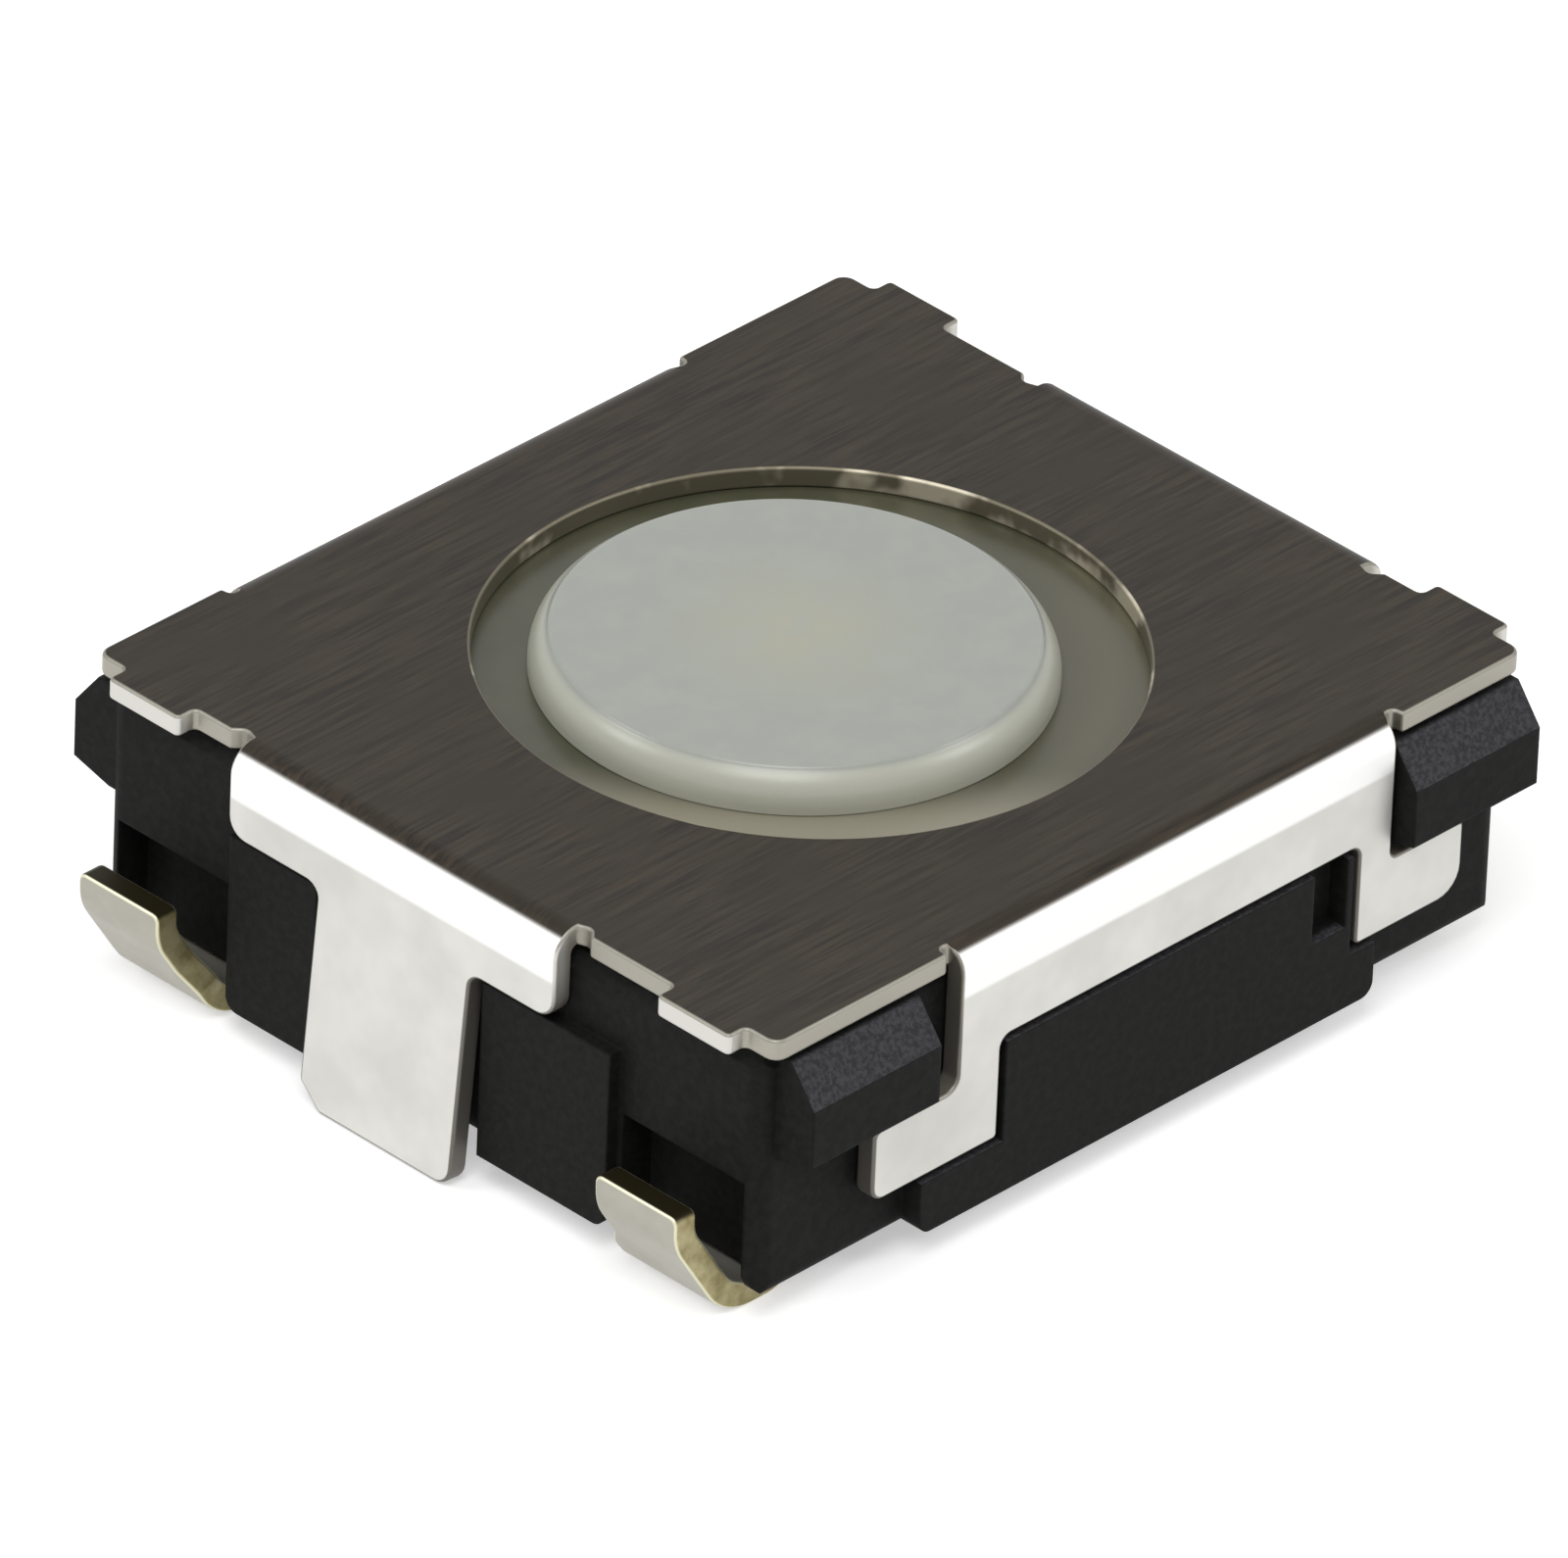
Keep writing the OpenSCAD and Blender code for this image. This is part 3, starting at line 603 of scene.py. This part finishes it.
# %% [markdown]
# ## Cover: nickel-plated steel, rolled
# Rolling drew out the strip's grain before it was stamped, and the plate on it is satin. The eye gets a
# soft shine with fine streaks along X. The real flat top mirrored a dark part of its room, while the bends
# and skirts mirrored a white screen. A mirror-like steel would show this scene's pale surroundings on top as
# well, so both reflections are painted into the steel's colour by the direction of the face: a painted dark
# reflection on the top and a painted white reflection on the bends and skirts. The streaks are noise,
# stretched along X and a little wider than real rolling marks, so that they show at this size.

# %% Painted reflections: a dark top and pale skirts
steel, tree, shader = material("nickel_plated_steel")
streaks = grain(tree, 1 / 26, 4, (0.06, 1, 1))
cloud = grain(tree, 1 / 1.4, 3)
up, height = facing(tree, (0, 0, 1)), along(tree, (0, 0, 1))
# painted dark reflection of the room on the flat top, with the rolling streaks in it
top = fade(tree, streaks, 0.3, 0.7, "1c1711", "3c3328")
top = fade(tree, cloud, 0.35, 0.75, top, "2c261d")
# the skirts' pale steel, lifted by a painted reflection of a white screen
skirt = fade(tree, cloud, 0.3, 0.7, "cac9c4", "d7d6d1")
# above these heights the bends and the skirts' tops get a painted white reflection
painted_reflection_from, painted_reflection_to = 1.80 * MM, 1.84 * MM  # above these heights a skirt mirrors the screen fully
sheet = fade(tree, height, painted_reflection_from, painted_reflection_to, skirt, "f4f4f2")
# faces that look up get the painted dark top, and the others the painted pale skirts
sheet = fade(tree, up, 0.62, 0.82, sheet, top)

# %% Cut edges and the hole's wall
# A shear leaves a cut edge dull and grey. That grey is painted with light and shade: palest at the ends of
# the lips, a painted highlight; darker where an edge faces sideways on the legs, a painted shade; one mid
# grey where an edge faces up. It is also darker low on the skirts. The hole's wall is painted darker, a
# painted shade inside the hole, with a few noise patches of painted glints. Noise moves the roughness a
# little and lifts the streaks by microns, which breaks up the shine.
rim = add(tree, "Attribute", attribute_name="cut_edge").outputs["Fac"]
out = add(tree, "Math", {0: along(tree, (1, 0, 0))}, operation="ABSOLUTE").outputs[0]
sideways = add(tree, "Math", {0: facing(tree, (1, 0, 0))}, operation="ABSOLUTE").outputs[0]
# painted shade: cut edges that face sideways, as on the legs, are darker
edge = fade(tree, sideways, 0.4, 0.8, "a39f94", "6f6b62")
# painted highlight: the cut ends of the lips are palest
edge = fade(tree, out, 3.18 * MM, 3.26 * MM, edge, "a39f94")
edge = fade(tree, out, 3.30 * MM, 3.38 * MM, edge, "d0cec8")
edge = fade(tree, height, 1.5 * MM, 1.9 * MM, "6e6b64", edge)
# painted light and shade by facing: one mid grey where a cut edge faces up
edge = fade(tree, up, 0.15, 0.5, edge, "8a877d")
# painted shade inside the hole, with noise patches of painted glints
hole_wall_shade_and_glints = fade(tree, grain(tree, 1 / 1.8, 3), 0.52, 0.66, "6a6454", "c8c0ac")
edge = fade(tree, from_axis(tree), hole_r * MM, (hole_r + 0.2) * MM, hole_wall_shade_and_glints, edge)
matt = add(tree, "MapRange", {"Value": streaks, "To Min": 0.38, "To Max": 0.5}).outputs["Result"]
relief = add(tree, "Bump", {"Strength": 0.15, "Distance": 0.004 * MM, "Height": streaks}).outputs["Normal"]
feed(tree, shader, {"Base Color": fade(tree, rim, 0.05, 0.4, sheet, edge), "Metallic": 0.6, "Roughness": matt,
                    "Normal": relief})
dress(cover.data, steel)

# %% [markdown]
# ## Leads: silver plate over brass
# The strip was plated before the shear cut it. Its faces are a soft, slightly tarnished silver, and the cut
# edges are bare yellow brass. A pale cream line on each edge's round, between the silver and the brass, is a
# painted highlight. The mesh stores how far round its edge each point lies, so one network can paint both
# metals. Where a cut edge looks up, it is painted dark, as a painted dark reflection.

# %% Silver faces and brass edges
plate, tree, shader = material("silver_plated_brass")
rim = add(tree, "Attribute", attribute_name="cut_edge").outputs["Fac"]
cloud = grain(tree, 0.2, 4)
silver = add(tree, "Mix", {0: cloud, 6: "9e9b91", 7: "b5b2a6"}, data_type="RGBA").outputs[2]
brass = fade(tree, cloud, 0.3, 0.7, "82774c", "b3aa82")
# painted dark reflection on cut edges that look up
brass = fade(tree, facing(tree, (0, 0, 1)), 0.3, 0.8, brass, "2e2815")
# painted highlight: a pale cream line along each edge's round
silver_and_painted_highlight = fade(tree, rim, 0.15, 0.45, silver, "d9d6ba")
relief = add(tree, "Bump", {"Strength": 0.2, "Distance": 0.006 * MM, "Height": cloud}).outputs["Normal"]
feed(tree, shader, {"Base Color": fade(tree, rim, 0.8, 0.95, silver_and_painted_highlight, brass), "Metallic": 0.7,
                    "Roughness": 0.42, "Normal": relief})
for row in rows:
    dress(row.data, plate)

# %% [markdown]
# ## Housing: black nylon, moulded
# The mould's spark-eroded steel leaves a fine matt grain that traps most of the shine. The eye gets a deep
# black with tiny specks. The slanted tops of the lugs catch more light, and that is painted in as a greyer
# black, painted light. The CAD solid's edges are sharp and its mesh stays as it is. The Bevel node rounds
# them in the shading alone, by 0.03 mm.

# %% Black resin
resin, tree, shader = material("black_nylon")
lug_face = 2.90 * MM  # only the lugs lie past this
speck = grain(tree, 1 / 16, 5)
across = add(tree, "Math", {0: along(tree, (0, 1, 0))}, operation="ABSOLUTE").outputs[0]
black = fade(tree, speck, 0.3, 0.75, "0c0c0b", "181817")
# painted light on the lugs' slanted tops, which face up
painted_slant_light = fade(tree, grain(tree, 1 / 30, 4), 0.35, 0.65, "29292b", "3e3e41")
lug_painted_light = fade(tree, facing(tree, (0, 0, 1)), 0.2, 0.5, black, painted_slant_light)
tone = fade(tree, across, lug_face, lug_face + 0.06 * MM, black, lug_painted_light)
round_edge = add(tree, "Bevel", {"Radius": 0.03 * MM}, samples=6).outputs["Normal"]
relief = add(tree, "Bump", {"Strength": 0.35, "Distance": 0.006 * MM, "Height": speck,
                            "Normal": round_edge}).outputs["Normal"]
feed(tree, shader, {"Base Color": tone, "Roughness": 0.7, "IOR": 1.53, "Specular IOR Level": 0.12,
                    "Normal": relief})
dress(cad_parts["housing"].data, resin)

# %% [markdown]
# ## Button: pale nylon, moulded
# Nylon without glass fibre lets a little light in, so the eye gets a soft grey with a hint of green and a
# satin shine. In the photo the middle is a touch yellower, and the wall is a little paler than the top.
# Both are painted by the distance from the button's axis. A fine bump, as from a matt mould, spreads the
# lamps' shine.

# %% Pale resin
pale, tree, shader = material("pale_nylon")
away = from_axis(tree, drift)
tone = fade(tree, away, 0.0, 1.1 * MM, "9d9d8c", "939690")
tone = fade(tree, grain(tree, 1 / 3, 3), 0.35, 0.75, tone, "989b93")
tone = fade(tree, away, 1.52 * MM, 1.58 * MM, tone, "a8a99c")
relief = add(tree, "Bump", {"Strength": 0.2, "Distance": 0.004 * MM, "Height": grain(tree, 1 / 18, 4)})
feed(tree, shader, {"Base Color": tone, "Roughness": 0.32, "IOR": 1.53, "Subsurface Weight": 0.1,
                    "Subsurface Radius": (0.2 * MM, 0.2 * MM, 0.15 * MM), "Subsurface Scale": 1.0,
                    "Normal": relief.outputs["Normal"]})
dress(cap.data, pale)

# %% [markdown]
# ## Film: polyimide, and dome: spring stainless steel
# The film is a thin amber sheet over the dome's well. With a grey dome under it, the eye gets a glossy
# olive. In the photo it is paler in front of the button, where light gathers between the wall and the hole,
# and browner to the right. One colour step along each of these directions gives that. The film hides the
# dome, which is plain rolled steel and needs no more than a bright metal with a faint cloud.

# %% Olive film, paler in front
film_look, tree, shader = material("polyimide_film")
to_front, to_right = (-0.69, -0.72, 0), (0.69, -0.72, 0)
olive = add(tree, "Mix", {0: grain(tree, 0.4, 3), 6: "3f4334", 7: "595743"}, data_type="RGBA").outputs[2]
tone = fade(tree, along(tree, to_right), 1.0 * MM, 1.9 * MM, olive, "5e5b48")
tone = fade(tree, along(tree, to_front), 1.0 * MM, 1.8 * MM, tone, "979280")
feed(tree, shader, {"Base Color": tone, "Roughness": 0.3, "Transmission Weight": 0.25, "IOR": 1.5})
dress(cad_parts["sealing_film"].data, film_look)

# %% Bright dome
dome_look, tree, shader = material("spring_stainless")
tone = add(tree, "Mix", {0: grain(tree, 0.25, 2), 6: "b4b3ae", 7: "c6c5c1"}, data_type="RGBA").outputs[2]
feed(tree, shader, {"Base Color": tone, "Metallic": 1.0, "Roughness": 0.25})
dress(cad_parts["snap_dome"].data, dome_look)

# %% [markdown]
# ## Light
# The photo is lit softly from above, with a white screen all round. Area lamps give soft light, the larger
# the softer. A large key lamp stands high behind the camera's left shoulder, and two small windows at the
# sides put the two bright arcs on the button's edge.

# %% Three lamps
for name, place_mm, size_mm, watts in (("key", (-60, -40, 120), 70, 0.09),
                                       ("right_window", (62, -78, 75), 36, 0.03),
                                       ("left_window", (-76, 62, 76), 36, 0.03)):
    lamp = bpy.data.lights.new(name, "AREA")
    lamp.size = size_mm * MM
    lamp.energy = watts
    place_object(name, lamp, place_mm, axes_from(np.array(place_mm) / np.linalg.norm(place_mm)))
    print(name, "lamp:", watts, "W")

# %% [markdown]
# ## Floor and world
# The photo's background is plain white. More light would bleach the switch, so the floor and the world are
# white only to the rays that look at them or mirror them, and dimmer as a light. The floor keeps a faint
# shadow.

# %% White to looks and reflections
def looked_at(tree):
    """1 for camera, glossy and transmission rays, and 0 for the others."""
    path = add(tree, "LightPath").outputs
    seen = add(tree, "Math", {0: path["Is Camera Ray"], 1: path["Is Glossy Ray"]}, operation="ADD",
               use_clamp=True).outputs[0]
    return add(tree, "Math", {0: seen, 1: path["Is Transmission Ray"]}, operation="ADD",
               use_clamp=True).outputs[0]


floor_glow, dim_sky, white_sky = 0.45, 0.55, 1.0
card, tree, shader = material("white_card")
tree.nodes.remove(shader)
glow = add(tree, "Math", {0: looked_at(tree), 1: floor_glow}, operation="MULTIPLY").outputs[0]
matt = add(tree, "BsdfDiffuse", {"Color": "e0e0e0"}).outputs[0]
both = add(tree, "AddShader", {0: matt, 1: add(tree, "Emission", {"Strength": glow}).outputs[0]})
tree.links.new(both.outputs[0], tree.nodes["Material Output"].inputs["Surface"])

floor = bpy.data.objects.new("floor", bpy.data.meshes.new("floor"))
reach = 3.0
floor.data.from_pydata([(-reach, -reach, 0), (reach, -reach, 0), (reach, reach, 0), (-reach, reach, 0)], [],
                       [(0, 1, 2, 3)])
bpy.context.scene.collection.objects.link(floor)
dress(floor.data, card)

# %% World
world = bpy.data.worlds.new("studio")
bpy.context.scene.world = world
world.use_nodes = True
tree = world.node_tree
tree.nodes.clear()
strength = add(tree, "MapRange", {"Value": looked_at(tree), "To Min": dim_sky, "To Max": white_sky})
sky = add(tree, "Background", {"Color": "ffffff", "Strength": strength.outputs["Result"]})
add(tree, "OutputWorld", {"Surface": sky.outputs[0]})
bpy.context.scene.view_settings.view_transform = "Standard"
print("world:", len(tree.nodes), "nodes")
